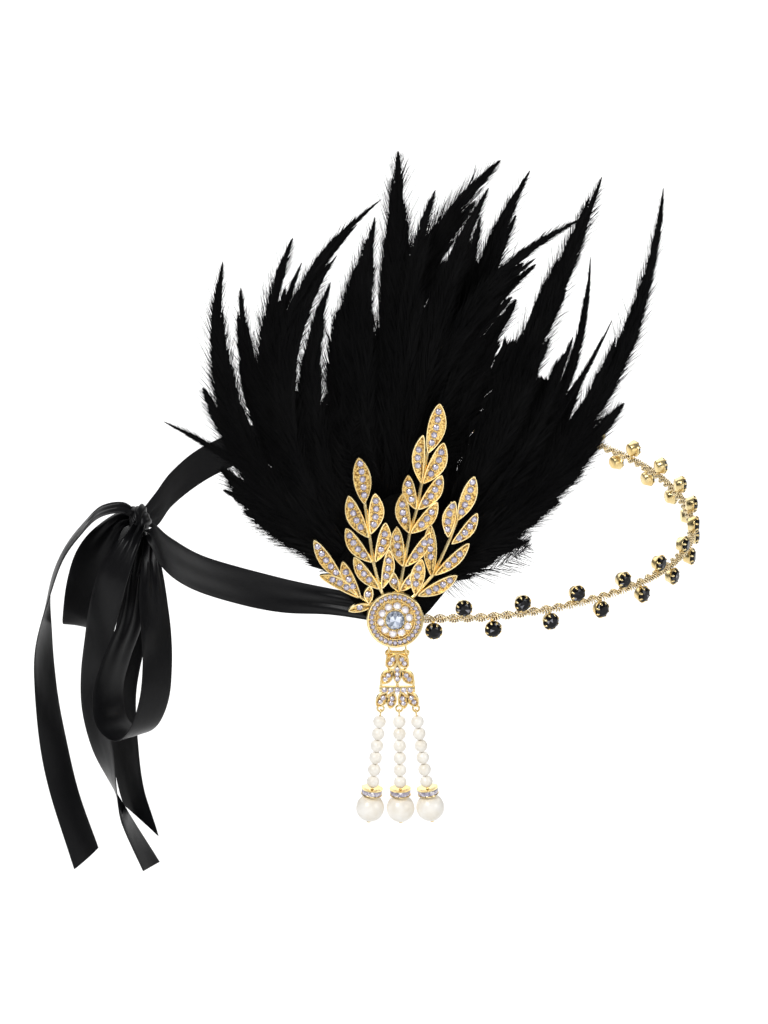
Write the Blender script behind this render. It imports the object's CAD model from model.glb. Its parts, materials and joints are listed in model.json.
"""The looks of a flapper feather headband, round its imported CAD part.

Metres, +Z up, +X to the right of the picture, -Y towards the viewer.
The origin is the middle of the head loop. Most sizes are written in millimetres.
"""

import json
import math

import bmesh
import bpy
import numpy as np
from mathutils import Matrix, Vector

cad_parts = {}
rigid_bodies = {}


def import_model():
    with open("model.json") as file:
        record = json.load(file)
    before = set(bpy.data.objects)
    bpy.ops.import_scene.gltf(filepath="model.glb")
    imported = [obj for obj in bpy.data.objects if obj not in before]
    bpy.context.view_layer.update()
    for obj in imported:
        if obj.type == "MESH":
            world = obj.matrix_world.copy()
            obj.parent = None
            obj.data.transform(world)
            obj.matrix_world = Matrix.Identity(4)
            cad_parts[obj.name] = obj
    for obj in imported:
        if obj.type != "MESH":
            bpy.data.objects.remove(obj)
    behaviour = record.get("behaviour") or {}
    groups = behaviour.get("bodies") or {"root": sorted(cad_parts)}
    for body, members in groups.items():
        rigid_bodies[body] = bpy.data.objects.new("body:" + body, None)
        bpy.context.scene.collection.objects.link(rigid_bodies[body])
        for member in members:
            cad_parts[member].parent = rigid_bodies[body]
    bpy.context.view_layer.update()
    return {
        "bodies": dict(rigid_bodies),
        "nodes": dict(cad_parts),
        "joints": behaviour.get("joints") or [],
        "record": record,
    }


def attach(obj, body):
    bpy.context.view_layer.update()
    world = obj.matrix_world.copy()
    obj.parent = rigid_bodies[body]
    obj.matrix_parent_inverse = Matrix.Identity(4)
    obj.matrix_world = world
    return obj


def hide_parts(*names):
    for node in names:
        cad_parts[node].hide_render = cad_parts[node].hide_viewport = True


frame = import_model()
mm = 0.001

# Camera: a long lens straight in front of the brooch, looking 20 degrees down on the head loop.

look_at = Vector((-11.9, 0, 6.2)) * mm
look_down = math.radians(20)
away = 1800 * mm

camera_data = bpy.data.cameras.new("camera")
camera_data.lens = 196.2
camera_data.clip_end = 100
camera = bpy.data.objects.new("camera", camera_data)
camera.location = look_at + away * Vector((0, -math.cos(look_down), math.sin(look_down)))
camera.rotation_euler = (math.pi / 2 - look_down, 0, 0)
bpy.context.scene.collection.objects.link(camera)
bpy.context.scene.camera = camera


# Studio: a pale floor well below the part, a pale room and four wide soft lamps.


class Value:
    """A node's output that can stand in a sum. Each sum adds its Math node."""

    def __init__(self, finish, socket):
        self.finish = finish
        self.socket = socket

    def math(self, operation, *others):
        values = dict(enumerate((self,) + others))
        return self.finish.add("ShaderNodeMath", {"operation": operation}, values)

    def turned(self, operation, other):
        return self.finish.add("ShaderNodeMath", {"operation": operation}, {0: other, 1: self})

    def __add__(self, other):
        return self.math("ADD", other)

    def __sub__(self, other):
        return self.math("SUBTRACT", other)

    def __rsub__(self, other):
        return self.turned("SUBTRACT", other)

    def __mul__(self, other):
        return self.math("MULTIPLY", other)

    __radd__ = __add__
    __rmul__ = __mul__


class Finish:
    """A material: its shader's steady numbers, and the nodes of what varies over the surface."""

    def __init__(self, name, **steady):
        self.material = bpy.data.materials.new(name)
        self.material.use_nodes = True
        self.tree = self.material.node_tree
        self.shader = self.tree.nodes["Principled BSDF"]
        for socket, value in steady.items():
            self.shader.inputs[socket.replace("_", " ")].default_value = value

    def add(self, kind, settings, values, output=0):
        node = self.tree.nodes.new(kind)
        for name, setting in settings.items():
            if name == "stops":
                for i, (place, colour) in enumerate(setting):
                    stops = node.color_ramp.elements
                    stop = stops[i] if i < 2 else stops.new(place)
                    stop.position = place
                    stop.color = (*colour, 1)
            else:
                setattr(node, name, setting)
        for name, value in values.items():
            if isinstance(value, Value):
                self.tree.links.new(value.socket, node.inputs[name])
            else:
                node.inputs[name].default_value = value
        return Value(self, node.outputs[output])

    def place(self, output="Object"):
        return self.add("ShaderNodeTexCoord", {}, {}, output)

    def attribute(self, name):
        return self.add("ShaderNodeAttribute", {"attribute_name": name}, {}, 2)

    def blotches(self, place, scale, detail=2.0):
        return self.add("ShaderNodeTexNoise", {}, {"Vector": place, "Scale": scale, "Detail": detail})

    def ramp(self, value, *stops):
        return self.add("ShaderNodeValToRGB", {"stops": stops}, {"Fac": value})

    def drive(self, **varying):
        for socket, value in varying.items():
            self.tree.links.new(value.socket, self.shader.inputs[socket.replace("_", " ")])

    def relief(self, height, depth, strength=1.0):
        values = {"Height": height, "Distance": depth, "Strength": strength}
        self.drive(Normal=self.add("ShaderNodeBump", {}, values))


floor_level = -300 * mm
floor_mesh = bmesh.new()
bmesh.ops.create_grid(floor_mesh, x_segments=1, y_segments=1, size=30)
floor_data = bpy.data.meshes.new("floor")
floor_mesh.to_mesh(floor_data)
floor_data.transform(Matrix.Translation((0, 0, floor_level)))
floor = bpy.data.objects.new("floor", floor_data)
bpy.context.scene.collection.objects.link(floor)
paper = Finish("paper", Roughness=0.9)
mottle = paper.blotches(paper.place(), 3.0)
paper.drive(Base_Color=paper.ramp(mottle, (0.0, (0.89, 0.89, 0.89)), (1.0, (0.9, 0.9, 0.9))))
floor_data.materials.append(paper.material)

room = bpy.data.worlds.new("room")
room.use_nodes = True
room.node_tree.nodes["Background"].inputs["Color"].default_value = (1.0, 1.0, 1.0, 1)
room.node_tree.nodes["Background"].inputs["Strength"].default_value = 0.2
bpy.context.scene.world = room

lamps = (
    {"name": "key", "at": (-0.9, -1.3, 1.5), "aim": (0, 0, 0), "size": 0.8, "power": 26},
    {"name": "front", "at": (0.25, -1.7, 0.05), "aim": (0, 0, 0), "size": 1.1, "power": 5},
    {"name": "fill", "at": (1.3, -0.9, 0.6), "aim": (0, 0, 0), "size": 0.7, "power": 6},
    {"name": "backdrop", "at": (0, 1.25, 0.4), "aim": (0, 1.25, -1), "size": 2.2, "power": 22},
)
for lamp in lamps:
    lamp_data = bpy.data.lights.new(lamp["name"], "AREA")
    lamp_data.size = lamp["size"]
    lamp_data.energy = lamp["power"]
    lamp_object = bpy.data.objects.new(lamp["name"], lamp_data)
    lamp_object.location = lamp["at"]
    way = Vector(lamp["aim"]) - Vector(lamp["at"])
    lamp_object.rotation_euler = way.to_track_quat("-Z", "Y").to_euler()
    bpy.context.scene.collection.objects.link(lamp_object)


# Brooch: a gold-plated casting that leans back with the forehead. Four sprays of pointed leaves rise from
# a round medallion. Every leaf has a polished rim round a grained channel, where a row of fine stones is set.

headband = "headband"
brooch_lean = math.radians(10)
brooch_place = Matrix.Translation(Vector((-8.5, -91, 4.6)) * mm) @ Matrix.Rotation(-brooch_lean, 4, "X")
spray_height = 67
leaf_thick = 1.6
leaf_rim = 0.34
leaf_sunk = 0.4
leaf_sides = 26


def finished(name, mesh, material, place=None, body=None, smooth=30):
    """Makes a piece of a bmesh drawn in millimetres, and rides it on a body."""
    data = bpy.data.meshes.new(name)
    mesh.to_mesh(data)
    mesh.free()
    data.transform((place or Matrix.Identity(4)) @ Matrix.Scale(mm, 4))
    data.materials.append(material)
    data.shade_smooth()
    if smooth:
        data.set_sharp_from_angle(angle=math.radians(smooth))
    else:
        data.shade_flat()
    piece = bpy.data.objects.new(name, data)
    bpy.context.scene.collection.objects.link(piece)
    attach(piece, body or headband)
    return piece


def leaf_edge(length, half, turn, bow):
    """A point of a leaf's outline, which bows to one side: turn 0 is the tip, pi the base."""
    along = (1 + math.cos(turn)) / 2
    half_here = half * max(0.0, math.sin(math.pi * along**1.12)) ** 0.66
    middle = bow * length * math.sin(math.pi * along)
    return Vector((length * along, middle + (half_here if turn < math.pi else -half_here), 0))


def cast_leaf(mesh, base, tip, width, thick, rim, sunk, roll=0.0, bow=0.0):
    """Adds one leaf, lying in the plane of x and z with its face to -y."""
    along = tip - base
    leaf = bmesh.new()
    bmesh.ops.create_circle(leaf, cap_ends=True, segments=leaf_sides, radius=1)
    for i, point in enumerate(leaf.verts):
        point.co = leaf_edge(along.length, width / 2, 2 * math.pi * i / leaf_sides, bow)
    bmesh.ops.recalc_face_normals(leaf, faces=leaf.faces)
    if leaf.faces[:][0].normal.z < 0:
        bmesh.ops.reverse_faces(leaf, faces=leaf.faces)
    draw_out(leaf, (0, 0, thick))
    top = [face for face in leaf.faces if face.normal.z > 0.9]
    bmesh.ops.inset_region(leaf, faces=top, thickness=rim, use_even_offset=False)
    bmesh.ops.inset_region(leaf, faces=top, thickness=rim * 0.35, depth=-sunk, use_even_offset=False)
    for face in top:
        face.material_index = 1
    ridge = [e for e in leaf.edges if min(v.co.z for v in e.verts) > thick - 0.01]
    soften(leaf, ridge, rim * 0.3, True)
    heading = Matrix.Rotation(math.atan2(along.y, along.x), 4, "Z")
    turn = Matrix.Rotation(math.pi / 2, 4, "X") @ heading @ Matrix.Rotation(roll, 4, "X")
    bmesh.ops.transform(leaf, matrix=Matrix.Translation((base.x, 0, base.y)) @ turn, verts=leaf.verts)
    merge(mesh, leaf)


def draw_out(mesh, way):
    """Makes a solid of a flat outline."""
    raised = bmesh.ops.extrude_face_region(mesh, geom=mesh.faces[:])["geom"]
    corners = [item for item in raised if isinstance(item, bmesh.types.BMVert)]
    bmesh.ops.translate(mesh, verts=corners, vec=way)
    bmesh.ops.recalc_face_normals(mesh, faces=mesh.faces)


def soften(mesh, edges, offset, clamped=False):
    """Rounds sharp edges in two steps."""
    bmesh.ops.bevel(
        mesh,
        geom=edges,
        offset=offset,
        segments=2,
        profile=0.5,
        affect="EDGES",
        material=-1,
        clamp_overlap=clamped,
    )


def merge(mesh, other):
    """Moves everything of one bmesh into another."""
    data = bpy.data.meshes.new("part")
    other.to_mesh(data)
    other.free()
    mesh.from_mesh(data)
    bpy.data.meshes.remove(data)


def spun(profile, axis, steps, closed=True):
    """A profile of radii and levels, turned round the y or z axis. An open one ends on the axis."""
    mesh = bmesh.new()
    level_way = Vector((0, axis == "Y", axis == "Z"))
    points = [mesh.verts.new(Vector((radius, 0, 0)) + level_way * level) for radius, level in profile]
    following = points[1:] + points[:1] if closed else points[1:]
    edges = [mesh.edges.new(pair) for pair in zip(points, following)]
    bmesh.ops.spin(
        mesh,
        geom=points + edges,
        cent=(0, 0, 0),
        axis=level_way,
        angle=2 * math.pi,
        steps=steps,
        use_merge=True,
    )
    if not closed:
        bmesh.ops.remove_doubles(mesh, verts=mesh.verts, dist=0.0005)
    bmesh.ops.recalc_face_normals(mesh, faces=mesh.faces)
    return mesh


def table(columns, *rows):
    """The rows of a table as dictionaries, by the names of its columns."""
    return [dict(zip(columns.split(), row)) for row in rows]


spray_leaves = table(
    "tip base width bow stones",
    ((-0.37, 0.37), (-0.235, 0.18), 0.062, 0.05, 5),
    ((-0.345, 0.205), (-0.165, 0.1), 0.054, -0.07, 3),
    ((-0.24, 0.27), (-0.155, 0.1), 0.06, 0.07, 3),
    ((-0.117, 0.155), (-0.122, 0.07), 0.044, 0.05, 1),
    ((-0.215, 0.04), (-0.1, 0.064), 0.04, -0.03, 1),
    ((-0.164, 0.75), (-0.139, 0.535), 0.084, -0.02, 5),
    ((-0.212, 0.575), (-0.12, 0.38), 0.074, 0.08, 4),
    ((-0.093, 0.585), (-0.113, 0.395), 0.072, -0.08, 4),
    ((-0.224, 0.425), (-0.105, 0.265), 0.068, 0.08, 4),
    ((-0.045, 0.45), (-0.093, 0.265), 0.066, -0.08, 3),
    ((-0.187, 0.29), (-0.07, 0.14), 0.062, 0.07, 3),
    ((-0.03, 0.325), (-0.063, 0.14), 0.057, -0.07, 3),
    ((0.201, 1.0), (0.148, 0.77), 0.085, -0.05, 5),
    ((0.221, 0.82), (0.125, 0.63), 0.078, -0.09, 4),
    ((0.125, 0.855), (0.117, 0.63), 0.06, 0.08, 3),
    ((0.213, 0.67), (0.103, 0.51), 0.07, -0.08, 4),
    ((0.061, 0.67), (0.097, 0.51), 0.062, 0.08, 3),
    ((0.193, 0.545), (0.069, 0.4), 0.066, -0.08, 3),
    ((0.036, 0.585), (0.066, 0.4), 0.068, 0.08, 3),
    ((0.16, 0.405), (0.043, 0.245), 0.058, -0.06, 3),
    ((0.01, 0.43), (0.037, 0.245), 0.066, 0.07, 3),
    ((-0.008, 0.22), (0.018, 0.13), 0.046, 0.09, 1),
    ((0.084, 0.22), (0.02, 0.13), 0.046, -0.09, 1),
    ((0.36, 0.665), (0.284, 0.46), 0.074, -0.04, 5),
    ((0.27, 0.55), (0.24, 0.38), 0.064, 0.07, 4),
    ((0.375, 0.495), (0.256, 0.35), 0.058, -0.09, 4),
    ((0.163, 0.443), (0.17, 0.195), 0.064, 0.02, 3),
    ((0.338, 0.355), (0.178, 0.205), 0.056, -0.05, 3),
    ((0.119, 0.28), (0.09, 0.11), 0.068, 0.03, 3),
    ((0.284, 0.205), (0.103, 0.11), 0.062, -0.05, 4),
)
spray_stems = (
    ((-0.09, 0.06), (-0.155, 0.1), (-0.235, 0.18)),
    ((-0.05, 0.1), (-0.068, 0.14), (-0.1, 0.265), (-0.117, 0.39), (-0.139, 0.54)),
    ((0.018, 0.11), (0.02, 0.135), (0.04, 0.245), (0.067, 0.4), (0.1, 0.51), (0.121, 0.63), (0.148, 0.775)),
    ((0.07, 0.09), (0.1, 0.12), (0.17, 0.2), (0.21, 0.28), (0.25, 0.37), (0.284, 0.465)),
)


def rod(mesh, start, end, radius, sides=8, depth=0.0):
    """Adds a round rod between two points in the plane of x and z, its middle at the given depth."""
    along = Vector((end.x - start.x, 0, end.y - start.y))
    middle = Vector(((start.x + end.x) / 2, depth, (start.y + end.y) / 2))
    place = Matrix.Translation(middle) @ along.to_track_quat("Z", "X").to_matrix().to_4x4()
    length = along.length + radius
    bmesh.ops.create_cone(
        mesh, cap_ends=True, segments=sides, radius1=radius, radius2=radius, depth=length, matrix=place
    )


def beads(mesh, points, radius):
    """Adds small round grains of metal at these points."""
    for point in points:
        bmesh.ops.create_icosphere(mesh, subdivisions=1, radius=radius, matrix=Matrix.Translation(point))


gold = Finish("gold", Metallic=1.0)
grain = gold.blotches(gold.place(), 900.0, 3.0)
tarnish = gold.blotches(gold.place(), 160.0, 2.0)
gold.drive(
    Base_Color=gold.ramp(tarnish, (0.25, (0.92, 0.64, 0.24)), (0.6, (1.0, 0.82, 0.44))),
    Roughness=0.16 + 0.2 * grain,
)
gold.relief(grain, 0.00004, 0.5)

grained_gold = Finish("grained_gold", Metallic=1.0, Roughness=0.36)
pits = grained_gold.add("ShaderNodeTexVoronoi", {}, {"Vector": grained_gold.place(), "Scale": 1700.0})
dimples = ((0.1, (1.0, 0.8, 0.34)), (0.45, (0.95, 0.64, 0.22)), (0.8, (0.28, 0.13, 0.03)))
grained_gold.drive(Base_Color=grained_gold.ramp(pits, *dimples))
grained_gold.relief(pits, 0.0001, 0.8)


def spray_point(share):
    return Vector(share) * spray_height


def leaf_stones(leaf, pitch):
    """Where the stones of a leaf sit along its bowed middle line."""
    base, tip = spray_point(leaf["base"]), spray_point(leaf["tip"])
    length = (tip - base).length
    across = Vector((base.y - tip.y, tip.x - base.x)) * leaf["bow"]
    shares = [0.53 + pitch / length * (i - (leaf["stones"] - 1) / 2) for i in range(leaf["stones"])]
    return [base.lerp(tip, share) + across * math.sin(math.pi * share) for share in shares]


brooch = bmesh.new()
leaf_roll = 0.11
stem_radius = 0.6
stem_depth = -0.55
for leaf in spray_leaves:
    base, tip = spray_point(leaf["base"]), spray_point(leaf["tip"])
    roll = leaf_roll if tip.x > base.x else -leaf_roll
    width = leaf["width"] * spray_height
    cast_leaf(brooch, base, tip, width, leaf_thick, leaf_rim, leaf_sunk, roll, leaf["bow"])
for stem in spray_stems:
    points = [spray_point(share) for share in stem]
    for start, end in zip(points, points[1:]):
        rod(brooch, start, end, stem_radius, 8, stem_depth)

# Medallion: a turned disc with a rounded rim, a ring channel, a grained ring and a raised cup
medallion_back = -0.4
medallion_profile = (
    (0.0, medallion_back),
    (8.4, medallion_back),
    (8.75, -0.8),
    (8.8, -1.4),
    (8.8, -2.5),
    (8.7, -2.9),
    (8.45, -3.1),
    (8.15, -3.05),
    (7.98, -2.85),
    (7.95, -2.35),
    (6.45, -2.35),
    (6.42, -2.8),
    (6.25, -3.02),
    (6.0, -3.02),
    (5.85, -2.8),
    (5.8, -2.2),
    (3.5, -2.2),
    (3.4, -3.0),
    (3.2, -3.25),
    (3.0, -3.2),
    (2.9, -2.6),
    (0.0, -2.5),
)
disc = spun(medallion_profile, "Y", 96, closed=False)
for face in disc.faces:
    if face.normal.y < -0.9 and face.calc_center_median().y > -2.5:
        face.material_index = 1
merge(brooch, disc)

# The plate behind the medallion's foot, with the two eyes that carry the drop
eye_side = 2.6
drop_shift = 0.7
eye_level = -7.55
eye_radius = 1.0
eye_turns = [2 * math.pi * k / 8 for k in range(8)]
eye_wire = [(eye_radius + 0.22 * math.cos(turn), 0.3 * math.sin(turn)) for turn in eye_turns]
for side in (-1, 1):
    eye = spun(eye_wire, "Y", 24)
    bmesh.ops.translate(eye, verts=eye.verts, vec=(drop_shift + side * eye_side, 2.0, eye_level))
    merge(brooch, eye)
bridge = Matrix.Translation((drop_shift, 0.85, -5.6)) @ Matrix.Diagonal((7.0, 2.9, 2.2, 1))
bmesh.ops.create_cube(brooch, size=1, matrix=bridge)

brooch_piece = finished("brooch_casting", brooch, gold.material, brooch_place)
brooch_piece.data.materials.append(grained_gold.material)
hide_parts("leaf_brooch")


# Stones of the brooch: clear brilliants with a pale lilac cast. Rows of 2 mm ones between grains of metal
# fill the leaves, and thirty of 1.6 mm the medallion's ring channel. Ten of 2.6 mm make a halo round the
# middle stone of 5.7 mm.


def ring_point(radius, turn, level):
    """A point of a ring round the y axis."""
    return (radius * math.cos(turn), level, radius * math.sin(turn))


def brilliant(radius, height, sides):
    """A cut stone as a bmesh, its girdle round the origin and its table towards -y."""
    stone = bmesh.new()
    rings = (
        (0.02, 1.04, 0.0),
        (0.56, 1.0, 0.0),
        (0.82, 0.55, 0.5),
        (1.0, 0.1, 0.0),
        (1.0, -0.1, 0.0),
        (0.55, -0.8, 0.5),
        (0.1, -1.3, 0.0),
    )
    for share, level, offset in rings:
        for k in range(sides):
            stone.verts.new(ring_point(radius * share, 2 * math.pi * (k + offset) / sides, -height * level))
    bmesh.ops.convex_hull(stone, input=stone.verts)
    bmesh.ops.dissolve_limit(stone, angle_limit=math.radians(1), verts=stone.verts, edges=stone.edges)
    return stone


def set_stones(stones, places):
    """Adds a stone at each place, of the size and sides given there, with a small turn of its own."""
    for x, y, z, radius, height, sides in places:
        stone = brilliant(radius, height, sides)
        spin = Matrix.Rotation(luck.uniform(0, 1), 4, "Y")
        tilt = Matrix.Rotation(luck.uniform(-0.06, 0.06), 4, "X")
        bmesh.ops.transform(stone, matrix=Matrix.Translation((x, y, z)) @ (spin @ tilt), verts=stone.verts)
        merge(stones, stone)


def tint_facets(piece, low, high):
    """Gives every facet its own brightness, as the light that a cut stone sends back from inside."""
    tint = piece.data.attributes.new("facet", "FLOAT", "FACE")
    tint.data.foreach_set("value", luck.uniform(low, high, len(piece.data.polygons)))


def cut_glass(name, *stops, **steady):
    """A material that takes its colour from the brightness of each facet."""
    glass = Finish(name, **steady)
    glass.drive(Base_Color=glass.ramp(glass.attribute("facet"), *stops))
    return glass


luck = np.random.default_rng(7)
clear = {"Metallic": 0.35, "Roughness": 0.05, "Coat_Weight": 1.0, "Coat_Roughness": 0.02}
crystal = cut_glass(
    "crystal",
    (0.0, (0.1, 0.1, 0.13)),
    (0.45, (0.36, 0.33, 0.42)),
    (0.75, (0.62, 0.58, 0.7)),
    (1.0, (1.0, 0.97, 0.94)),
    **clear,
)

leaf_stone = 1.02
leaf_pitch = 2.45
leaf_bed = -leaf_thick + leaf_sunk
stone_places = []
grain_points = []
for leaf in spray_leaves:
    along = (spray_point(leaf["tip"]) - spray_point(leaf["base"])).normalized()
    across = Vector((-along.y, along.x))
    for point in leaf_stones(leaf, leaf_pitch):
        stone_places.append((point.x, leaf_bed - 0.28, point.y, leaf_stone, 0.42, 8))
        for side, step in ((-1, -1), (-1, 1), (1, -1), (1, 1)):
            grip = point + across * side * 0.55 + along * step * leaf_pitch * 0.5
            grain_points.append((grip.x, leaf_bed - 0.3, grip.y))

channel_radius = 7.2
channel_stones = 30
for i in range(channel_stones):
    middle = ring_point(channel_radius, 2 * math.pi * (i + 0.5) / channel_stones, -2.65)
    stone_places.append((*middle, 0.78, 0.4, 8))
    for radius in (channel_radius - 0.48, channel_radius + 0.48):
        grain_points.append(ring_point(radius, 2 * math.pi * i / channel_stones, -2.75))

halo_radius = 4.35
halo_stones = 10
halo_places = []
for i in range(halo_stones):
    middle = ring_point(halo_radius, 2 * math.pi * (i + 0.25) / halo_stones, -2.75)
    halo_places.append((*middle, 1.3, 0.7, 8))
    between = 2 * math.pi * (i + 0.75) / halo_stones
    grain_points.append(ring_point(halo_radius + 0.9, between, -2.75))
    grain_points.append(ring_point(halo_radius - 0.6, between, -2.95))

pave = bmesh.new()
set_stones(pave, stone_places)
pave_piece = finished("pave_stones", pave, crystal.material, brooch_place, smooth=0)
tint_facets(pave_piece, 0.25, 0.85)

grains = bmesh.new()
beads(grains, grain_points, 0.27)
milgrain = [2 * math.pi * i / 64 for i in range(64)]
beads(grains, [ring_point(6.12, turn, -3.05) for turn in milgrain], 0.24)
beads(grains, [ring_point(3.22, turn, -3.2) for turn in milgrain[::2]], 0.24)
grain_piece = finished("setting_grains", grains, gold.material, brooch_place, smooth=60)

halo = bmesh.new()
set_stones(halo, halo_places)
halo_piece = finished("halo_stones", halo, crystal.material, brooch_place, smooth=0)
tint_facets(halo_piece, 0.8, 1.0)

ice = cut_glass(
    "centre_crystal",
    (0.0, (0.12, 0.15, 0.2)),
    (0.5, (0.42, 0.47, 0.6)),
    (1.0, (0.9, 0.95, 1.0)),
    **clear,
)
centre = bmesh.new()
set_stones(centre, [(0, -3.35, 0, 2.85, 1.15, 16)])
centre_piece = finished("centre_brilliant", centre, ice.material, brooch_place, smooth=0)
tint_facets(centre_piece, 0.0, 1.0)
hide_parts("centre_stone")


# Felt pad: black wool felt, 1.5 mm thick, cut smaller than the sprays.
# It is glued to the back of the casting, and the feathers are glued behind it.

felt_corners = (
    (-0.07, -0.06),
    (0.06, -0.06),
    (0.16, 0.035),
    (0.285, 0.19),
    (0.27, 0.36),
    (0.2, 0.5),
    (0.12, 0.6),
    (-0.02, 0.57),
    (-0.13, 0.5),
    (-0.19, 0.36),
    (-0.3, 0.21),
    (-0.16, 0.03),
)
felt_thick = 1.5
felt_front = 0.3
pad = bmesh.new()
pad_back = felt_front + felt_thick
corners = [pad.verts.new((x * spray_height, pad_back, z * spray_height)) for x, z in felt_corners]
pad.faces.new(corners)
draw_out(pad, (0, -felt_thick, 0))
pad_rims = [e for e in pad.edges if abs(e.verts[0].co.y - e.verts[1].co.y) < 0.01]
soften(pad, pad_rims, 0.35)
felt = Finish("felt", Roughness=1.0, Specular_IOR_Level=0.05)
nap = felt.blotches(felt.place(), 1400.0, 4.0)
felt.drive(Base_Color=felt.ramp(nap, (0.3, (0.001, 0.001, 0.001)), (0.8, (0.004, 0.004, 0.004))))
felt.relief(nap, 0.0003)
pad_piece = finished("felt_backing", pad, felt.material, brooch_place, smooth=60)
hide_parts("felt_pad")


# Plume: cock hackles, dyed black, over marabou fluff. Each hackle is a bent quill with some hundreds of barbs
# that lie forward along it. They are bound at one root and glued behind the felt, and open out like a fan.

plume_height = 143
plume_root = Vector((0, 8))
plume_front = felt_thick + 0.6
plume_depth = 17
root_half = 1.6
plume_locks = table(
    "tip bow width depth hook split",
    ((-0.498, 0.415), 0.08, 0.4, 0.1, 0, 0.5),
    ((-0.415, 0.49), -0.14, 0.95, -0.2, 0, 1),
    ((-0.375, 0.315), -0.06, 1, 0.3, 0, 1),
    ((-0.325, 0.225), 0.02, 0.75, -0.3, 0, 1),
    ((-0.25, 0.17), 0.06, 0.4, 0.1, 0, 1),
    ((-0.37, 0.765), -0.36, 0.95, -0.3, 0, 1),
    ((-0.33, 0.705), -0.26, 0.85, 0.4, 0, 1),
    ((-0.22, 0.815), -0.33, 1.05, 0, 0.05, 1),
    ((-0.05, 0.81), -0.23, 1.1, 0.6, 0, 1),
    ((-0.03, 0.9), -0.51, 0.75, -0.6, 0.1, 0.6),
    ((0.005, 1), 0, 1.25, 0, 0, 1),
    ((0.085, 0.92), -0.06, 0.9, -0.6, 0.06, 1),
    ((0.225, 0.98), -0.26, 1.3, 0.3, 0.06, 1),
    ((0.2, 0.925), -0.12, 0.9, -0.9, 0, 1),
    ((0.185, 0.855), 0, 1, 1, 0, 1),
    ((0.29, 0.955), -0.05, 0.95, 0.7, 0.05, 1),
    ((0.4, 0.86), -0.28, 0.75, -0.4, 0.08, 1),
    ((0.44, 0.945), 0.05, 0.9, 0.1, 0, 1),
    ((0.42, 0.77), 0.26, 0.45, 0.6, 0, 0.4),
    ((0.33, 0.6), 0.06, 0.9, -0.7, 0, 1),
    ((0.465, 0.635), 0.12, 0.3, 0.3, 0, 0.5),
    ((0.57, 0.922), 0.275, 0.8, -0.1, 0, 0.35),
    ((0.49, 0.46), 0.12, 1, -0.3, 0, 1),
    ((0.425, 0.36), 0.06, 1, 0.4, 0, 1),
    ((0.35, 0.25), 0.02, 0.85, -0.2, 0, 1),
    ((0.29, 0.165), -0.02, 0.5, 0.2, 0, 1),
)
# Shorter hackles among them, which close the fan where it is dense
short_feathers = table(
    "tip bow width depth hook split",
    ((-0.37, 0.27), 0.02, 0.6, 0.4, 0, 1),
    ((-0.2, 0.76), -0.38, 0.8, 0.2, 0.04, 1),
    ((-0.14, 0.72), -0.3, 0.9, -0.2, 0, 1),
    ((-0.045, 0.86), -0.12, 0.9, -0.1, 0, 1),
    ((0.3, 0.76), -0.2, 1, -0.2, 0.05, 1),
    ((0.26, 0.68), -0.1, 1, 0.3, 0, 1),
    ((0.38, 0.6), 0.14, 0.7, 0.1, 0, 1),
    ((0.47, 0.6), 0.24, 0.8, -0.3, 0, 1),
    ((0.4, 0.45), 0.16, 0.9, 0.3, 0, 1),
    ((0.33, 0.66), 0.04, 0.7, -0.1, 0.04, 1),
    ((0.35, 0.55), 0.12, 0.6, 0.5, -0.04, 1),
    ((0.41, 0.53), 0.2, 0.6, 0.6, 0, 1),
)


def plume_middle(height, depth):
    """How far behind the casting a feather lies at this height: the plume swells backwards as it rises."""
    share = np.clip((height - plume_root.y) / (plume_height * 0.45 - plume_root.y), 0, 1)
    swell = share * share * (3 - 2 * share)
    return plume_front + root_half + swell * plume_depth * (0.42 + 0.3 * depth)


def quill_line(quill, t):
    """Points, headings and sideways directions along a bent quill, whose tip may hook to one side."""
    root, tip, bow, depth, ripple, hook = quill
    chord = tip - root
    belly = root + chord * 0.5 + Vector((chord.y, -chord.x)) * bow
    root, tip, belly = (np.array(v) for v in (root, tip, belly))
    t = t[:, None]
    flat = (1 - t) ** 2 * root + 2 * (1 - t) * t * belly + t * t * tip
    heading = 2 * (1 - t) * (belly - root) + 2 * t * (tip - belly)
    heading /= np.linalg.norm(heading, axis=1, keepdims=True)
    length = np.linalg.norm(tip - root)
    wave = ripple * np.sin(t * 9 + 3 * depth) * t + hook * length * (t**4 - t**2)
    flat = flat + wave * np.stack([heading[:, 1], -heading[:, 0]], 1)
    heading = heading + hook * (4 * t**3 - 2 * t) * np.stack([heading[:, 1], -heading[:, 0]], 1)
    heading /= np.linalg.norm(heading, axis=1, keepdims=True)
    points = np.stack([flat[:, 0], plume_middle(flat[:, 1], depth), flat[:, 1]], 1)
    ahead = np.stack([heading[:, 0], np.zeros(len(t)), heading[:, 1]], 1)
    side = np.stack([heading[:, 1], np.zeros(len(t)), -heading[:, 0]], 1)
    return points, ahead, side


def partway(tip, bow, share):
    """Where a feather's bent quill has got to at a share of its length, and the bow of that part."""
    chord = tip - plume_root
    belly = chord * 0.5 + Vector((chord.y, -chord.x)) * bow
    end = 2 * (1 - share) * share * belly + share * share * chord
    reach = share * belly - end / 2
    return plume_root + end, reach.dot(Vector((end.y, -end.x))) / end.length_squared


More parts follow.
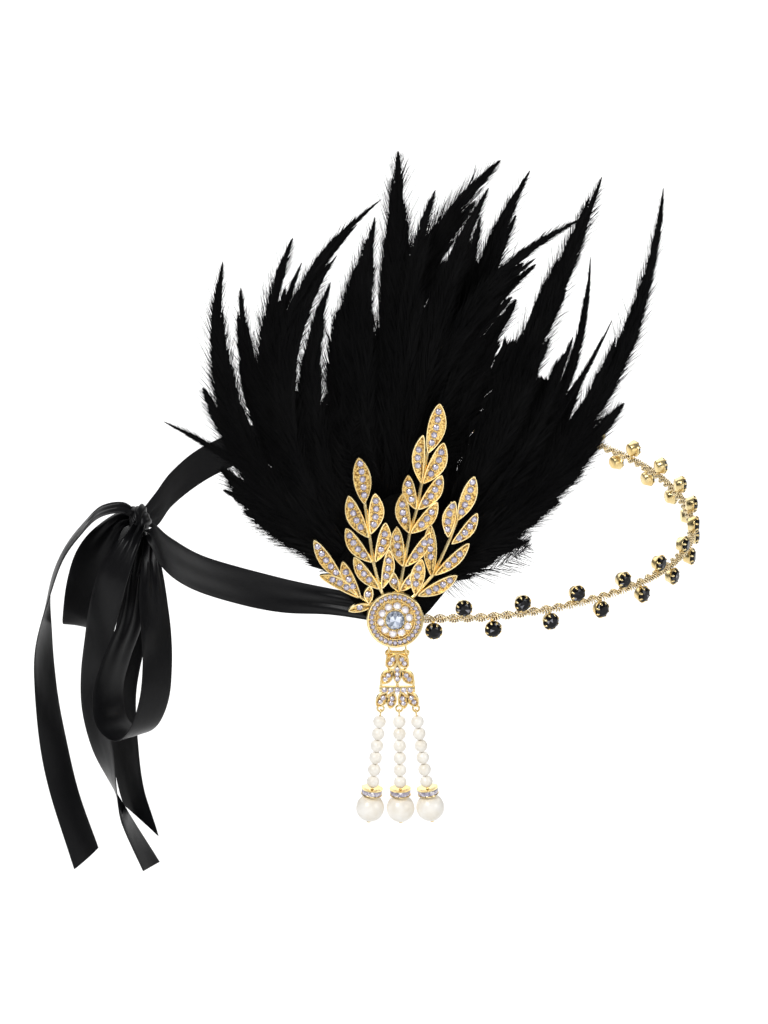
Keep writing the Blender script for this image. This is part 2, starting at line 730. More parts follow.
def barbs(points, ahead, side, reach, lean, width, curl, scatter):
    """Flat hairs that leave each point sideways and bend forward, in tufts, as corners and faces."""
    count = len(points)
    tuft = np.cumsum(luck.uniform(0, 1, count) < 0.09)
    lean = lean + luck.normal(0, scatter, tuft[-1] + 1)[tuft] + luck.normal(0, scatter * 0.35, count)
    bend = curl + luck.normal(0, scatter, tuft[-1] + 1)[tuft] + luck.normal(0, scatter * 0.35, count)
    lift = luck.normal(0, 0.06 + scatter * 0.5, tuft[-1] + 1)[tuft] + luck.normal(0, 0.04, count)
    steps = (0.0, 0.4, 0.75, 1.0)
    spots = [points]
    for i in range(3):
        turn = lean - bend * steps[i]
        way = np.cos(turn)[:, None] * ahead + np.sin(turn)[:, None] * side
        way[:, 1] += lift
        spots.append(spots[-1] + way * (reach * (steps[i + 1] - steps[i]))[:, None])
    half = (0.5 * width, 0.42 * width, 0.26 * width)
    across = np.cross(spots[3] - spots[0], np.array([0.0, 1.0, 0.0]) + luck.normal(0, 0.25, (count, 3)))
    across /= np.linalg.norm(across, axis=1, keepdims=True) + 1e-9
    rows = [spots[i] + across * half[i] * way for i in range(3) for way in (-1, 1)]
    corners = np.stack([*rows, spots[3]], 1).reshape(-1, 3)
    first = (np.arange(count) * 7)[:, None]
    quads = np.concatenate([first + [0, 1, 3, 2], first + [2, 3, 5, 4]])
    return corners, quads, first + [4, 5, 6]


def vane(quill, half, spacing, width, lean, curl, scatter, bare=0.1):
    """The barbs of one feather, wide from the middle up and closing to a point."""
    length = (quill[1] - quill[0]).length
    count = max(12, int(length * (1 - bare) / spacing))
    parts = []
    for way in (-1, 1):
        t = bare + (1 - bare) * (np.arange(count) + luck.uniform(0, 0.9, count)) / count
        points, ahead, side = quill_line(quill, t)
        leaning = lean * (1 - 0.35 * t)
        shape = (1 - np.exp(-0.6 * (1 - t) / 0.1)) * np.minimum(1, np.sqrt(t / 0.3))
        reach = half * shape / np.sin(leaning) * luck.uniform(0.8, 1.08, count)
        reach = np.minimum(reach, length * (1 - t) + 1.5)
        parts.append(barbs(points, ahead, way * side, reach, leaning, width, curl * (1 - 0.5 * t), scatter))
    return parts


def stem_of(quill):
    """The quill itself, a thin ridge that tapers to the tip."""
    t = np.linspace(0, 1, 24)
    points, ahead, side = quill_line(quill, t)
    thick = (0.35 * (1 - t) + 0.08)[:, None]
    front = points - np.array([0, 0.15, 0])
    stem = np.stack([points - side * thick, front, points + side * thick], 1).reshape(-1, 3)
    first = (np.arange(len(t) - 1) * 3)[:, None]
    faces = np.concatenate([first + [0, 1, 4, 3], first + [1, 2, 5, 4]])
    return [(stem, faces, np.zeros((0, 3), int))]


def joined(name, parts):
    """Joins barbs and quills into one piece of the plume."""
    corners, faces, start = [], [], 0
    for spots, quads, tips in parts:
        corners.append(spots)
        faces += (quads + start).tolist() + (tips + start).tolist()
        start += len(spots)
    data = bpy.data.meshes.new(name)
    data.from_pydata(np.concatenate(corners), [], faces)
    data.transform(brooch_place @ Matrix.Scale(mm, 4))
    data.materials.append(black_feather.material)
    piece = bpy.data.objects.new(name, data)
    bpy.context.scene.collection.objects.link(piece)
    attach(piece, headband)
    return piece


black_feather = Finish("black_feather", Specular_IOR_Level=0.06)
sheen = black_feather.blotches(black_feather.place(), 60.0, 2.0)
black_feather.drive(
    Base_Color=black_feather.ramp(sheen, (0.3, (0.0015, 0.0015, 0.0018)), (0.75, (0.004, 0.004, 0.0042))),
    Roughness=0.45 + 0.2 * sheen,
)

# The barbs of a hackle in three coats, from the close web along the quill out to single wisps
coats = table(
    "half spacing width lean curl scatter bare",
    (0.27, 0.4, 0.42, 0.32, 0.12, 0.03, 0.35),
    (0.42, 0.66, 0.2, 0.36, 0.15, 0.08, 0.35),
    (0.68, 1.4, 0.13, 0.5, 0.35, 0.12, 0.4),
)
hackle_width = 10.5
fluff_feathers = 60
under, hackles, fluff = [], [], []
for lock in plume_locks + short_feathers:
    tip = Vector(lock["tip"]) * plume_height
    wide = hackle_width * lock["width"]
    aside = (tip - plume_root).orthogonal().normalized()
    end, bow = partway(tip, lock["bow"], 0.84)
    body = (plume_root, end, bow, lock["depth"] + 0.2, 0.0, lock["hook"] * 0.6)
    web = {"spacing": 0.45, "width": 0.8, "lean": 0.4, "curl": 0.2, "scatter": 0.04, "bare": 0.04}
    under += vane(body, wide * 0.5, **web)
    second, third = luck.uniform(0.92, 0.95), luck.uniform(0.86, 0.9)
    for share, shift in ((1.0, 0.0), (second, 0.12), (third, -0.14), (0.8, 0.27), (0.75, -0.28)):
        end, bow = partway(tip, lock["bow"], share)
        end += aside * shift * wide * lock["split"]
        quill = (plume_root, end, bow, lock["depth"] - 0.15 + shift, 0.3, lock["hook"] * share**3)
        hackles += stem_of(quill)
        for coat in coats:
            hackles += vane(quill, **{**coat, "half": coat["half"] * wide})
by_turn = sorted(plume_locks, key=lambda lock: math.atan2(lock["tip"][0], lock["tip"][1]))
for lock, neighbour in zip(by_turn, by_turn[1:]):
    tip = (Vector(lock["tip"]) + Vector(neighbour["tip"])) * plume_height / 2
    bow = (lock["bow"] + neighbour["bow"]) / 2
    filler = (plume_root, plume_root.lerp(tip, 0.62), bow, 0.5, 0.0, 0.0)
    under += vane(filler, 7.5, spacing=0.5, width=1.1, lean=0.5, curl=0.25, scatter=0.06)
for k in range(fluff_feathers):
    turn = math.radians(luck.uniform(-66, 76))
    length = luck.uniform(26, 66) * (1 - 0.25 * abs(turn))
    tip = plume_root + Vector((math.sin(turn), math.cos(turn))) * length
    quill = (plume_root, tip, luck.uniform(-0.2, 0.2), luck.uniform(-1.1, 0.6), 1.5, 0.0)
    fluff += vane(quill, 6, spacing=0.5, width=0.17, lean=0.8, curl=0.25, scatter=0.35)

under_piece = joined("plume_under", under)
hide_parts("feather_plume")
for i in range(3):
    joined(f"plume_hackles_{i + 1}", hackles[i::3])
joined("plume_fluff", fluff)


# Ribbons: black satin, 12 mm wide and 0.4 mm thick, with a fine lengthwise weave and a firm selvedge.
# Two bands lie on the head, one towards the brooch and one to the chain's clamp. Two loops and three cut ends
# hang from the knot.

ribbon_width = 12
ribbon_thick = 0.4
half_width = 86
front_depth = 84
back_depth = 105


def loop_point(angle, out, level):
    """A point of the head loop: angle 0 is the forehead, 90 the right of the picture."""
    turn = math.radians(angle)
    depth = front_depth if math.cos(turn) > 0 else back_depth
    return Vector(((half_width + out) * math.sin(turn), -(depth + out) * math.cos(turn), level))


def face_direction(turn, lift):
    turn, lift = math.radians(turn), math.radians(lift)
    return (math.sin(turn) * math.cos(lift), -math.cos(turn) * math.cos(lift), math.sin(lift))


def smooth_line(points, count, tightness=0.5):
    """Samples of a Catmull-Rom curve through the points: tightness 0.5 is centripetal, 0 even."""
    points = np.array([tuple(point) for point in points], float)
    ends = np.vstack([2 * points[0] - points[1], points, 2 * points[-1] - points[-2]])
    t = np.linspace(0, len(points) - 1, count)
    i = np.minimum(t.astype(int), len(points) - 2)
    u = (t - i)[:, None]
    a, b, c, d = (ends[i + k] for k in range(4))
    before, here, after = (
        np.linalg.norm(q - p, axis=1)[:, None] ** tightness for p, q in ((a, b), (b, c), (c, d))
    )
    leave = ((b - a) / before - (c - a) / (before + here) + (c - b) / here) * here
    reach = ((c - b) / here - (d - b) / (here + after) + (d - c) / after) * here
    start_share = 2 * u**3 - 3 * u**2 + 1
    return start_share * b + (u**3 - 2 * u**2 + u) * leave + (1 - start_share) * c + (u**3 - u**2) * reach


# The inner faces of the bands lie this far aside in the UV map, and the material leaves them dull
inside_lie = 40
selvedge_width = 0.55
satin = Finish("satin", Specular_IOR_Level=0.16, Anisotropic=0.4)
lie = satin.place("UV")
warp = satin.add("ShaderNodeMapping", {}, {"Vector": lie, "Scale": (9.0, 0.35, 1.0)})
threads = satin.blotches(warp, 1.0, 3.0)
slack = satin.add("ShaderNodeMapping", {}, {"Vector": lie, "Scale": (0.12, 0.05, 1.0)})
creases = satin.blotches(slack, 1.0, 2.0)
across = satin.add("ShaderNodeSeparateXYZ", {}, {"Vector": lie}).math("ABSOLUTE")
selvedge = across.math("GREATER_THAN", ribbon_width / 2 - selvedge_width)
dull = across.math("GREATER_THAN", inside_lie / 2)
satin.drive(
    Base_Color=satin.ramp(threads, (0.3, (0.0025, 0.0025, 0.003)), (0.75, (0.008, 0.008, 0.009))),
    Roughness=0.22 + 0.12 * threads + 0.1 * creases + 0.08 * selvedge + 0.6 * dull,
)
satin.relief(threads * 0.25 + selvedge * 0.6 + creases * 2.0, 0.00012, 0.7)


def satin_ribbon(node, rows, slant, held):
    """Weaves a ribbon along rows that give its middle, its face and the share of its width that shows."""
    rough = smooth_line([row["at"] for row in rows], 200)
    length = float(np.linalg.norm(np.diff(rough, axis=0), axis=1).sum())
    count = int(length / 1.1)
    line = smooth_line([row["at"] for row in rows], count)
    faces = smooth_line([face_direction(row["turn"], row["lift"]) for row in rows], count, 0)
    share = smooth_line([(row["share"],) for row in rows], count, 0)[:, 0]
    tangent = np.gradient(line, axis=0)
    tangent /= np.linalg.norm(tangent, axis=1, keepdims=True)
    faces -= tangent * (faces * tangent).sum(1, keepdims=True)
    faces /= np.linalg.norm(faces, axis=1, keepdims=True)
    side = np.cross(faces, tangent)
    run = np.concatenate([[0], np.cumsum(np.linalg.norm(np.diff(line, axis=0), axis=1))])
    end_share = np.clip((np.linspace(0, 1, count) - 0.9) / 0.1, 0, 1)
    cut = slant * end_share**2 * (3 - 2 * end_share)
    level = np.linspace(-0.5, 0.5, 17)
    top = [(x, 0.5 if abs(x) < 0.49 else 0.3) for x in level]
    section = top + [(x, -through) for x, through in top[::-1]]
    phase = luck.uniform(0, 6)
    points, lies = [], []
    for x, through in section:
        pleat = (1 - share) * 1.7 * np.cos(x * 15 + phase)
        cup = 0.5 * (4 * x * x - 0.4) * np.sin(run / 23 + phase) + 0.16 * np.sin(run / 6.5 + 3 * x + phase)
        raise_by = (through * ribbon_thick + pleat + cup)[:, None]
        sideways = side * (x * ribbon_width * share)[:, None]
        points.append(line + sideways + faces * raise_by + tangent * (cut * x * ribbon_width)[:, None])
        inside = inside_lie if through < 0 and held == "stretched" else 0
        lies.append(np.stack([np.full(count, x * ribbon_width + inside), run], 1))
    around = len(section)
    corners = np.stack(points, 1).reshape(-1, 3)
    first = np.arange(count - 1)[:, None] * around
    ring = np.arange(around)[None, :]
    following = (np.arange(around) + 1)[None, :] % around
    quads = np.stack([first + ring, first + following, first + following + around, first + ring + around], 2)
    ends = [list(range(around))[::-1], [(count - 1) * around + k for k in range(around)]]
    data = bpy.data.meshes.new(node)
    data.from_pydata(corners, [], quads.reshape(-1, 4).tolist() + ends)
    uv = data.uv_layers.new(name="lie")
    indices = np.zeros(len(data.loops), int)
    data.loops.foreach_get("vertex_index", indices)
    uv.data.foreach_set("uv", np.stack(lies, 1).reshape(-1, 2)[indices].ravel())
    mesh = bmesh.new()
    mesh.from_mesh(data)
    bpy.data.meshes.remove(data)
    bmesh.ops.recalc_face_normals(mesh, faces=mesh.faces)
    name = "satin_" + node.replace("ribbon_", "").replace("bow_", "")
    piece = finished(name, mesh, satin.material, smooth=50)
    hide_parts(node)


knot_place = loop_point(-90, 4.8, 3)
bow_drop = 124

# Rows of a band: the angle round the head, the rise as a share of the width, the share of the width that
# shows, and the distance out
band_rows = {
    "ribbon_front_band": (
        (-87.4, 0.05, 0.35, 1.5),
        (-80, 0.15, 0.95, 0.4),
        (-68, 0.24, 1.05, 0),
        (-55, 0.31, 1.06, 0),
        (-42, 0.41, 1.03, 0),
        (-30, 0.45, 0.95, 0),
        (-19, 0.5, 0.75, 0.4),
        (-9, 0.4, 0.65, 1),
    ),
    "ribbon_back_band": (
        (-91.5, 0.2, 0.4, 3),
        (-99, 0.08, 0.9, 0.4),
        (-110, 0.12, 1.02, 0),
        (-125, 0.17, 1, 0),
        (-142, 0.18, 1, 0),
        (-160, 0.2, 1, 0),
        (-174, 0.125, 1, 0),
        (-179.8, 0.125, 1, 0),
    ),
}
for node, rows in band_rows.items():
    placed = [
        {"at": loop_point(angle, 0.5 + out, rise * ribbon_width), "turn": angle, "lift": 0, "share": share}
        for angle, rise, share, out in rows
    ]
    satin_ribbon(node, placed, 0, "stretched")

# How much a cut end slants, then rows: the place from the knot as shares of the drop, the face's turn and
# lift, and the share of the width that shows
hanging_rows = {
    "bow_loop_left": (
        0,
        (-0.01, 0.015, 0.005, -30, 20, 0.35),
        (-0.05, 0.02, -0.005, -30, 15, 0.5),
        (-0.095, 0.025, -0.06, -28, 5, 0.85),
        (-0.13, 0.04, -0.125, -28, 0, 1),
        (-0.155, 0.055, -0.21, -28, 0, 1),
        (-0.165, 0.06, -0.29, -28, -20, 1),
        (-0.163, 0.085, -0.325, -28, -80, 1),
        (-0.15, 0.115, -0.3, -28, -160, 1),
        (-0.13, 0.125, -0.21, -28, -180, 1),
        (-0.085, 0.115, -0.09, -28, -180, 0.7),
        (-0.015, 0.05, 0.01, -28, -185, 0.35),
    ),
    "bow_loop_right": (
        0,
        (0.028, -0.015, -0.035, 35, 0, 0.35),
        (0.034, -0.06, -0.1, 38, 5, 0.65),
        (0.038, -0.1, -0.17, 38, 5, 0.9),
        (0.047, -0.15, -0.25, 38, 5, 1),
        (0.05, -0.185, -0.33, 38, 0, 1),
        (0.04, -0.205, -0.42, 38, -10, 1),
        (0.01, -0.195, -0.5, 38, -40, 1),
        (-0.03, -0.155, -0.54, 38, -80, 1),
        (-0.075, -0.105, -0.52, 38, -130, 1),
        (-0.085, -0.08, -0.45, 38, -170, 1),
        (-0.06, -0.085, -0.35, 38, -185, 0.95),
        (-0.024, -0.078, -0.25, 36, -185, 0.8),
        (-0.005, -0.03, -0.13, 32, -180, 0.6),
        (0.012, -0.012, -0.04, 30, -180, 0.3),
    ),
    "tail_left": (
        0.15,
        (-0.005, 0, 0.015, -90, 110, 0.4),
        (-0.04, -0.005, 0.04, -90, 100, 0.6),
        (-0.1, -0.005, 0.03, -90, 65, 0.8),
        (-0.15, 0, -0.02, -90, 45, 1),
        (-0.2, 0, -0.09, -90, 28, 1),
        (-0.24, 0, -0.2, -92, 12, 1),
        (-0.258, 0, -0.34, -112, 0, 1),
        (-0.255, 0, -0.46, -122, 0, 1),
        (-0.24, 0, -0.6, -128, 0, 1),
        (-0.21, 0, -0.76, -130, 0, 1),
        (-0.155, 0, -0.955, -132, 0, 1),
    ),
    "tail_middle": (
        -0.3,
        (0, -0.03, 0.005, -20, 20, 0.35),
        (-0.025, -0.075, -0.03, -30, 15, 0.65),
        (-0.065, -0.09, -0.11, -35, 5, 0.95),
        (-0.092, -0.065, -0.21, -40, 0, 1),
        (-0.115, -0.02, -0.33, -45, 0, 1),
        (-0.128, 0.012, -0.45, -45, 0, 1),
        (-0.125, 0.02, -0.55, -45, 0, 1),
        (-0.105, 0.025, -0.66, -50, 0, 1),
        (-0.08, 0.025, -0.76, -75, 0, 1),
        (-0.055, 0.025, -0.84, -95, 0, 1),
        (0.015, 0.025, -0.99, -105, 0, 1),
    ),
    "tail_behind": (
        0.9,
        (0.008, 0.018, -0.03, -35, 0, 0.35),
        (0.005, 0.025, -0.12, -35, 0, 0.75),
        (-0.025, 0.05, -0.3, -35, 0, 1),
        (-0.055, 0.065, -0.5, -38, 0, 1),
        (-0.05, 0.065, -0.66, -40, 0, 1),
        (-0.035, 0.065, -0.78, -40, 0, 1),
        (-0.01, 0.06, -0.87, -45, 10, 1),
    ),
}
for node, (slant, *rows) in hanging_rows.items():
    placed = [
        {"at": knot_place + bow_drop * Vector((x, y, z)), "turn": turn, "lift": lift, "share": share}
        for x, y, z, turn, lift, share in rows
    ]
    satin_ribbon(node, placed, slant, "hung")


# Knot: the same satin pulled tight round the loops' roots, so that its folds run down it.
# It is a wound roll about 7 mm wide, 9 mm deep and 11 mm high.

knot_size = Vector((3.5, 4.5, 5.5))
knot = bmesh.new()
bmesh.ops.create_uvsphere(knot, u_segments=72, v_segments=40, radius=1)
for point in knot.verts:
    x, y, z = point.co.x, point.co.z, point.co.y
    turn = math.atan2(y, x)
    fold = 1 + 0.09 * math.cos(5 * turn + 2 * z) + 0.035 * math.cos(13 * turn + 5 * z)
    point.co = (x * fold * knot_size.x, z * fold * knot_size.y, y * fold * knot_size.z)
knot_lies = knot.loops.layers.uv.new("lie")
for face in knot.faces:
    for corner in face.loops:
        corner[knot_lies].uv = (corner.vert.co.z * 0.8, corner.vert.co.y)
bmesh.ops.recalc_face_normals(knot, faces=knot.faces)
knot_piece = finished("satin_knot", knot, satin.material, Matrix.Translation(knot_place * mm), smooth=60)
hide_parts("bow_knot")


# Chain: a gold rope of small round links laid in two strands, from behind the medallion to a clamp at the
# back. Black stones in eight-clawed cups stand on short posts, by turns below and above the rope.

rope_width = 2.8
clamp_back = back_depth + 0.5
clamp_level = 1.5
chain_points = [
    Vector((-5.7, -87.8, 3.3)),
    Vector((0.95, -87.5, 3.1)),
    *[loop_point(turn, rope_width / 2, 1.95) for turn in range(12, 157, 12)],
    loop_point(168, rope_width / 2, clamp_level),
    Vector((0.8, clamp_back, clamp_level)),
]
chain_samples = smooth_line(chain_points, 1200)
chain_run = np.concatenate([[0], np.cumsum(np.linalg.norm(np.diff(chain_samples, axis=0), axis=1))])
chain_length = float(chain_run[-1])


def chain_frame(distance):
    """The rope's place at a distance from its start, as a matrix: x along it, y outwards, z up."""
    steps = (distance - 0.6, distance, distance + 0.6)
    behind, at, ahead = (
        Vector([float(np.interp(step, chain_run, chain_samples[:, k])) for k in range(3)]) for step in steps
    )
    along = (ahead - behind).normalized()
    outward = Vector((along.y, -along.x, 0)).normalized()
    frame = Matrix((along, outward, Vector((0, 0, 1)))).transposed().to_4x4()
    return Matrix.Translation(at) @ frame


def ring_of_wire(radius, wire, around, sides, place=None):
    """A round link as a bmesh, lying in the plane of x and y, or turned and moved from there."""
    turns = [2 * math.pi * k / sides for k in range(sides)]
    link = spun([(radius + wire * math.cos(turn), wire * math.sin(turn)) for turn in turns], "Z", around)
    if place:
        bmesh.ops.transform(link, matrix=place, verts=link.verts)
    return link


def stored(name, mesh):
    """Keeps a small bmesh as mesh data, to be copied."""
    data = bpy.data.meshes.new(name)
    mesh.to_mesh(data)
    mesh.free()
    return data


def copy_in(mesh, data, place):
    """Adds a copy of a small mesh at a place."""
    copy = data.copy()
    copy.transform(place)
    mesh.from_mesh(copy)
    bpy.data.meshes.remove(copy)


pale_gold = Finish("pale_gold", Metallic=1.0)
wear = pale_gold.blotches(pale_gold.place(), 300.0, 2.0)
golds = ((0.1, (0.14, 0.07, 0.02)), (0.6, (0.95, 0.7, 0.36)), (1.0, (1.0, 0.88, 0.6)))
pale_gold.drive(
    Base_Color=pale_gold.ramp(pale_gold.attribute("polish") + 0.2 * wear, *golds),
    Roughness=0.2 + 0.15 * wear,
)

chain = bmesh.new()
chain.verts.layers.float.new("polish")
link_radius = 0.55
link = ring_of_wire(link_radius, 0.21, 10, 6)
polish = link.verts.layers.float.new("polish")
for point in link.verts:
    point[polish] = min(1.0, max(0.0, (point.co.xy.length - 0.5) / 0.2))
link_data = stored("link", link)
rope_lay = 8.6
link_pitch = 0.66
strand_out = 0.75
link_tilt = Matrix.Rotation(0.85, 4, "Y")
distance = 0.6
while distance < chain_length - 0.4:
    for strand in (0, math.pi):
        turn = 2 * math.pi * distance / rope_lay + strand
        spin = Matrix.Rotation(turn, 4, "X") @ Matrix.Translation((0, strand_out, 0)) @ link_tilt
        copy_in(chain, link_data, chain_frame(distance) @ spin)
    distance += link_pitch
bpy.data.meshes.remove(link_data)

cup_offset = 3.7
cup_seat = 0.11
cup_pitch = 9.45
cup_claws = 8
clear_of_clamp = 14
cup_profile = (
    (0.0, -1.3),
    (1.75, -1.3),
    (1.95, -1.15),
    (2.45, 0.3),
    (2.75, 1.0),
    (2.72, 1.12),
    (2.64, 1.1),
    (2.4, 0.55),
    (0.0, 0.4),
)
cup = spun(cup_profile, "Z", 24, closed=False)
claw_shape = Matrix.Rotation(-0.6, 4, "Y") @ Matrix.Diagonal((0.2, 0.34, 0.72, 1))
for i in range(cup_claws):
    turn = Matrix.Rotation(2 * math.pi * (i + 0.5) / cup_claws, 4, "Z")
    claw = turn @ Matrix.Translation((2.42, 0, 1.72)) @ claw_shape
    bmesh.ops.create_icosphere(cup, subdivisions=2, radius=1, matrix=claw)
bmesh.ops.rotate(cup, verts=cup.verts, cent=(0, 0, 0), matrix=Matrix.Rotation(-math.pi / 2, 3, "X"))
cup_data = stored("cup", cup)
stone = brilliant(2.58, 0.95, 8)
bmesh.ops.rotate(stone, verts=stone.verts, cent=(0, 0, 0), matrix=Matrix.Rotation(math.pi, 3, "X"))
stone_data = stored("black_stone", stone)

cups = bmesh.new()
black_stones = bmesh.new()
stone_lift = Matrix.Translation((0, 1.5, 0))
post_radius = 0.55
distance = 9
side = -1
while distance < chain_length - clear_of_clamp:
    seat = chain_frame(distance) @ Matrix.Translation((0, cup_seat, side * cup_offset))
    copy_in(cups, cup_data, seat)
    copy_in(black_stones, stone_data, seat @ stone_lift @ Matrix.Rotation(luck.uniform(0, 1), 4, "Y"))
    post = seat @ Matrix.Translation((0, -0.2, -side * 1.9))
    bmesh.ops.create_cone(
        cups, cap_ends=True, segments=10, radius1=post_radius, radius2=post_radius, depth=2.6, matrix=post
    )
    distance += cup_pitch
    side = -side

clamp = bmesh.new()
clamp_reach = 6.8
fold_profile = (
    (0, 1.6),
    (1.6, 1.1),
    (1.6, -1.1),
    (0, -1.6),
    (-6, -1.6),
    (-6, -0.8),
    (0, -0.8),
    (0, 0.8),
    (-6, 0.8),
    (-6, 1.6),
)
foot = clamp_level - clamp_reach
fold = [clamp.verts.new((x, clamp_back + y, foot)) for x, y in fold_profile]
bmesh.ops.contextual_create(clamp, geom=fold)
draw_out(clamp, (0, 0, 2 * clamp_reach))
soften(clamp, clamp.edges[:], 0.15)
merge(cups, clamp)

rope_piece = finished("rope_of_links", chain, pale_gold.material, smooth=80)
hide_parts("rhinestone_chain")
cups_piece = finished("chain_cups", cups, gold.material, smooth=40)

jet = cut_glass(
    "black_crystal",
    (0.8, (0.002, 0.002, 0.003)),
    (0.92, (0.02, 0.02, 0.025)),
    (1.0, (0.3, 0.3, 0.33)),
    Roughness=0.06,
    Specular_IOR_Level=0.3,
)
jet_piece = finished("chain_stones", black_stones, jet.material, smooth=0)
tint_facets(jet_piece, 0.0, 1.0)


# Drop: hangs from the brooch's eyes on two plain jump rings and swings on them. A pierced gold plate of
# leaves carries three strands of pearls on pins, each closed by a stone rondelle and one large pearl.

drop = "drop"
hinge = Vector((-7.8, -90.671, -5.054))
drop_place = Matrix.Translation(hinge * mm)
plate_width = 13.2
plate_height = 20
ring_radius = 1.9
plate_thick = 1.5
plate_back = 0.55
plate_rim = 0.36
plate_sunk = 0.3
plate_stone_pitch = 1.6

for name, side in (("left", -1), ("right", 1)):
    upright = Matrix.Translation((side * eye_side, 0, 0)) @ Matrix.Rotation(math.pi / 2, 4, "Y")
    ring = ring_of_wire(ring_radius, 0.3, 40, 12, upright)
    ring_piece = finished(f"jump_ring_{name}", ring, gold.material, drop_place, drop, 80)
    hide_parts(f"hinge_ring_{name}")

plate_leaves = table(
    "base tip width stones sides",
    ((0.03, -0.1), (0.23, -0.33), 0.27, 2, (-1, 1)),
    ((0.0, -0.25), (0.0, -0.6), 0.22, 3, (1,)),
    ((0.1, -0.36), (0.37, -0.6), 0.28, 2, (-1, 1)),
    ((0.24, -0.73), (0.47, -0.98), 0.27, 2, (-1, 1)),
    ((0.09, -0.73), (0.17, -1.01), 0.25, 2, (-1, 1)),
)
plate_bars = table(
    "from to width sides",
    ((-0.24, -0.09), (0.24, -0.09), 0.1, (1,)),
    ((0.22, -0.1), (0.25, -0.3), 0.06, (-1, 1)),
    ((0.25, -0.3), (0.16, -0.38), 0.06, (-1, 1)),
    ((0.38, -0.56), (0.38, -0.7), 0.06, (-1, 1)),
    ((-0.38, -0.69), (0.38, -0.69), 0.16, (1,)),
    ((0.0, -0.12), (0.0, -0.66), 0.07, (1,)),
)
strands = (
    {"name": "left", "across": -0.39, "lean": -5.8},
    {"name": "centre", "across": 0.045, "lean": 0.8},
    {"name": "right", "across": 0.44, "lean": 8.0},
)
hanger_level = -20.4
plate_middle = -0.55


def plate_point(share, side=1):
    return Vector((share[0] * plate_width * side, share[1] * plate_height))


plate = bmesh.new()
plate_stone_places = []
for leaf in plate_leaves:
    for side in leaf["sides"]:
        base, tip = plate_point(leaf["base"], side), plate_point(leaf["tip"], side)
        cast_leaf(plate, base, tip, leaf["width"] * plate_width, plate_thick, plate_rim, plate_sunk)
        along = (tip - base).normalized()
        for k in range(leaf["stones"]):
            spot = base.lerp(tip, 0.53) + along * plate_stone_pitch * (k - (leaf["stones"] - 1) / 2)
            plate_stone_places.append((spot.x, -plate_thick + 0.1, spot.y, 0.82, 0.42, 8))
for bar in plate_bars:
    for side in bar["sides"]:
        start, end = plate_point(bar["from"], side), plate_point(bar["to"], side)
        rod(plate, start, end, bar["width"] * plate_width / 2, 12, -0.6)
for k in range(-2, 3):
    plate_stone_places.append((k * 0.15 * plate_width, -1.75, -0.69 * plate_height, 0.88, 0.45, 8))
facing = Matrix.Rotation(math.pi / 2, 4, "X")
for strand in strands:
    x = strand["across"] * plate_width
    merge(plate, ring_of_wire(1.0, 0.33, 24, 8, Matrix.Translation((x, plate_middle, hanger_level)) @ facing))
    foot = Vector((x * 0.96, -0.85 * plate_height))
    rod(plate, Vector((x, hanger_level + 1.2)), foot, 0.35, 8, plate_middle)
for side in (-1, 1):
    eye_place = Matrix.Translation((side * eye_side, plate_middle, -ring_radius))
    merge(plate, ring_of_wire(0.98, 0.24, 24, 8, eye_place @ facing))
plate_shift = Matrix.Translation((0, plate_back * mm, 0))
plate_piece = finished("pierced_plate", plate, gold.material, drop_place @ plate_shift, drop)
plate_piece.data.materials.append(grained_gold.material)
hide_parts("drop_plate")

plate_pave = bmesh.new()
set_stones(plate_pave, plate_stone_places)
plate_pave_piece = finished("plate_stones", plate_pave, crystal.material, drop_place @ plate_shift, drop, 0)
tint_facets(plate_pave_piece, 0.45, 1.0)

pearl = Finish("pearl", Specular_IOR_Level=0.5, Coat_Weight=0.5, Coat_Roughness=0.12)
nacre = pearl.blotches(pearl.place(), 260.0, 2.0)
pearl.drive(
    Base_Color=pearl.ramp(nacre, (0.3, (0.88, 0.82, 0.71)), (0.7, (0.98, 0.95, 0.89))),
    Roughness=0.28 + 0.1 * nacre,
)


def bead(mesh, level, radius, hole, sides):
    """Adds a drilled pearl on the strand's line, its wall turned in at the hole."""
    open_by = math.asin(hole / radius)
    turns = [open_by + (math.pi - 2 * open_by) * k / 15 for k in range(16)]
    wall = [(radius * math.sin(turn), -radius * math.cos(turn)) for turn in turns]
    wall = [(hole, -radius * 0.6), *wall, (hole, radius * 0.6)]
    merge(mesh, spun([(x, z + level) for x, z in wall], "Z", sides))


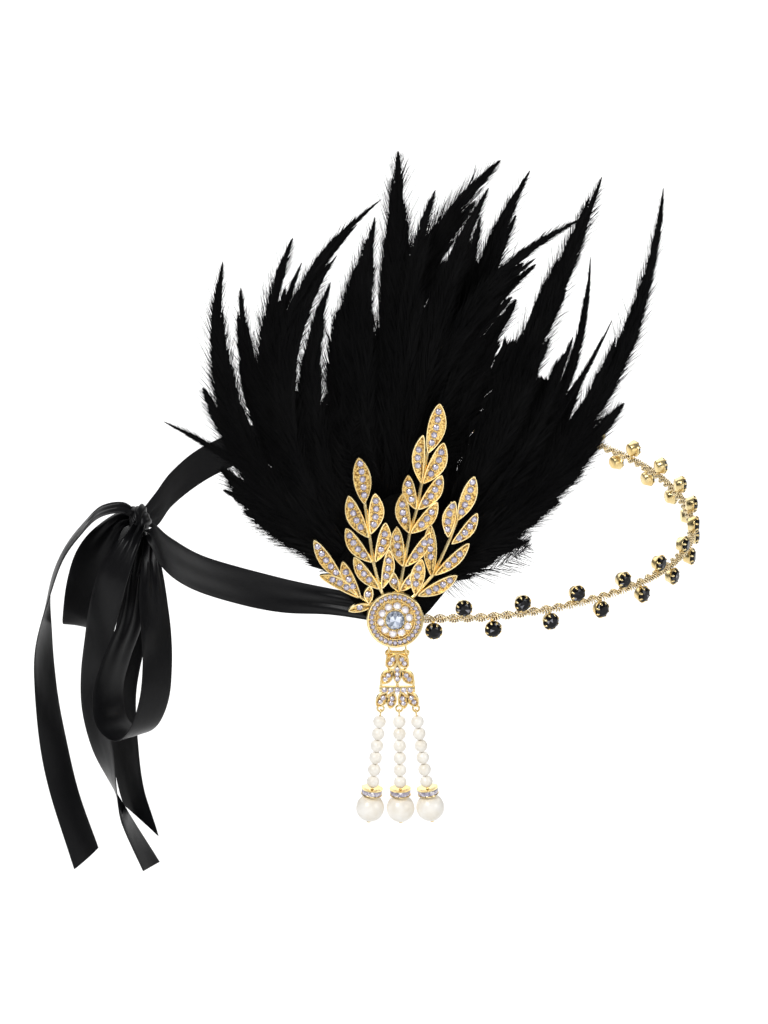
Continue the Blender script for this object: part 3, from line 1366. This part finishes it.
small_pearl = 2.0
large_pearl = 4.4
pearl_pitch = 4.04
first_pearl = -3.29
rondelle_level = -26.63
large_level = -32.27
pin_end = -36.91
pin_eye = 0.9
pin_wire = 0.25
strand_top = -21.55
rondelle_stones = 12
rondelle_profile = (
    (0.55, -0.9),
    (3.1, -1.1),
    (3.35, -1.0),
    (3.3, -0.82),
    (2.5, -0.75),
    (2.5, 0.75),
    (3.3, 0.82),
    (3.35, 1.0),
    (3.1, 1.1),
    (0.55, 0.5),
)
for strand in strands:
    name = strand["name"]
    lean = Matrix.Rotation(-math.radians(strand["lean"]), 4, "Y")
    top = Vector((strand["across"] * plate_width, 0, strand_top))
    strand_place = drop_place @ Matrix.Translation(top * mm) @ lean

    small = bmesh.new()
    for i in range(6):
        bead(small, first_pearl - pearl_pitch * i, small_pearl, 0.4, 32)
    small_piece = finished(f"small_pearls_{name}", small, pearl.material, strand_place, drop, 60)
    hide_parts(*[f"pearl_{name}_{i}" for i in range(1, 7)])

    large = bmesh.new()
    bead(large, large_level, large_pearl, 0.5, 48)
    large_piece = finished(f"end_pearl_{name}", large, pearl.material, strand_place, drop, 60)
    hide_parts(f"large_pearl_{name}")

    flanges = spun([(x, z + rondelle_level) for x, z in rondelle_profile], "Z", 40)
    rondelle_piece = finished(f"rondelle_flanges_{name}", flanges, gold.material, strand_place, drop)
    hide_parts(f"rondelle_{name}")
    ring_stones = bmesh.new()
    square = Matrix.Translation((0, -3.0, rondelle_level)) @ Matrix.Rotation(math.pi / 4, 4, "Y")
    for i in range(rondelle_stones):
        stone = brilliant(1.06, 0.22, 4)
        turn = Matrix.Rotation(2 * math.pi * i / rondelle_stones, 4, "Z")
        bmesh.ops.transform(stone, matrix=turn @ square, verts=stone.verts)
        merge(ring_stones, stone)
    stones_name = f"rondelle_stones_{name}"
    ring_stones_piece = finished(stones_name, ring_stones, crystal.material, strand_place, drop, 0)
    tint_facets(ring_stones_piece, 0.3, 1.0)

    pin = ring_of_wire(pin_eye, pin_wire, 24, 8, Matrix.Rotation(math.pi / 2, 4, "Y"))
    rod(pin, Vector((0, -pin_eye)), Vector((0, pin_end)), pin_wire, 10)
    head = Matrix.Translation((0, 0, pin_end)) @ Matrix.Diagonal((1, 1, 0.5, 1))
    bmesh.ops.create_uvsphere(pin, u_segments=16, v_segments=8, radius=0.7, matrix=head)
    pin_piece = finished(f"head_pin_{name}", pin, gold.material, strand_place, drop, 60)
    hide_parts(f"strand_pin_{name}")

bpy.context.scene.view_settings.view_transform = "Standard"
